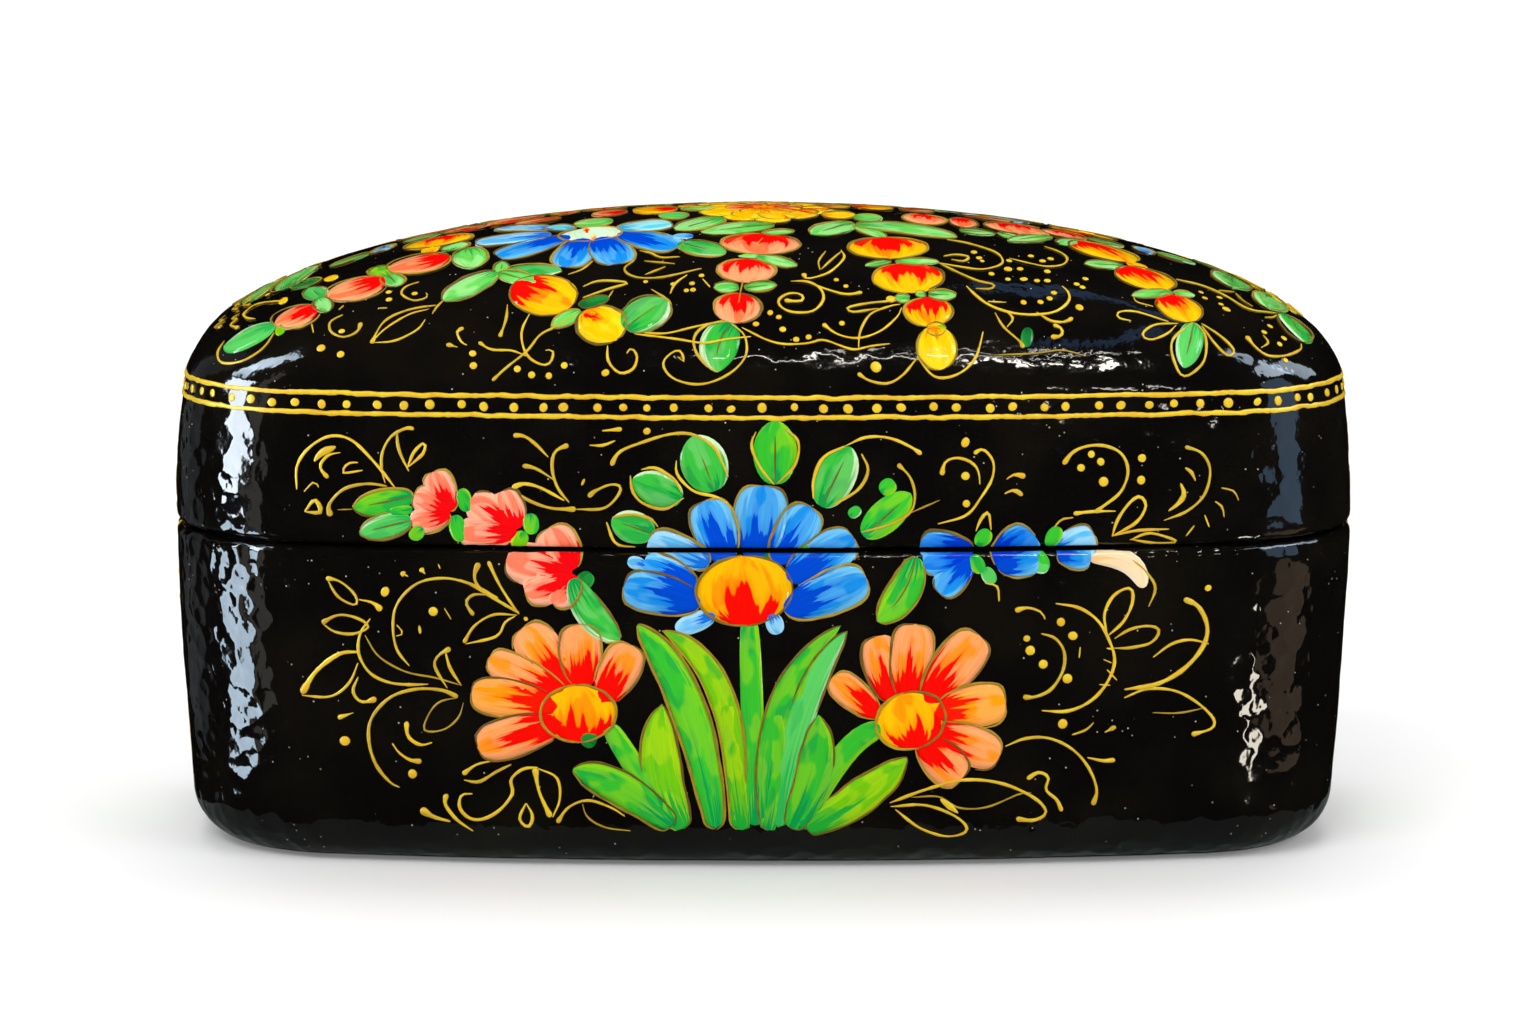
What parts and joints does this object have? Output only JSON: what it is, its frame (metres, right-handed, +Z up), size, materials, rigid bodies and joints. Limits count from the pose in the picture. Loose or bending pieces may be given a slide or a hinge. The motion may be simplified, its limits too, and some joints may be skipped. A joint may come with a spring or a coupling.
{
  "type": "papier-mache trinket box",
  "caption": "Oblong trinket box in black lacquered papier-mache with painted flowers, a domed lift-off lid and a card collar in its mouth.",
  "frame": {"origin": "middle of the flat underside, on the surface that the box stands on", "axes": "+X along the box to the right, -Y its painted front, +Z up"},
  "size_m": [0.127, 0.068, 0.0672],
  "materials": {
    "black_lacquer": "glossy lacquer over hand-laid pulp",
    "black_card": "satin painted card",
    "gold_paint": "gold line paint under clear lacquer",
    "flower_paint": "opaque flower colours under clear lacquer"
  },
  "bodies": {
    "base": {"base_shell": "black_lacquer", "rim_collar": "black_card"},
    "lid": {"lid_shell": "black_lacquer"}
  },
  "joints": [
    {"name": "lid_lift", "type": "slide", "parent": "base", "child": "lid", "axis": [0, 0, 1], "range_m": [0, 0.07]}
  ]
}
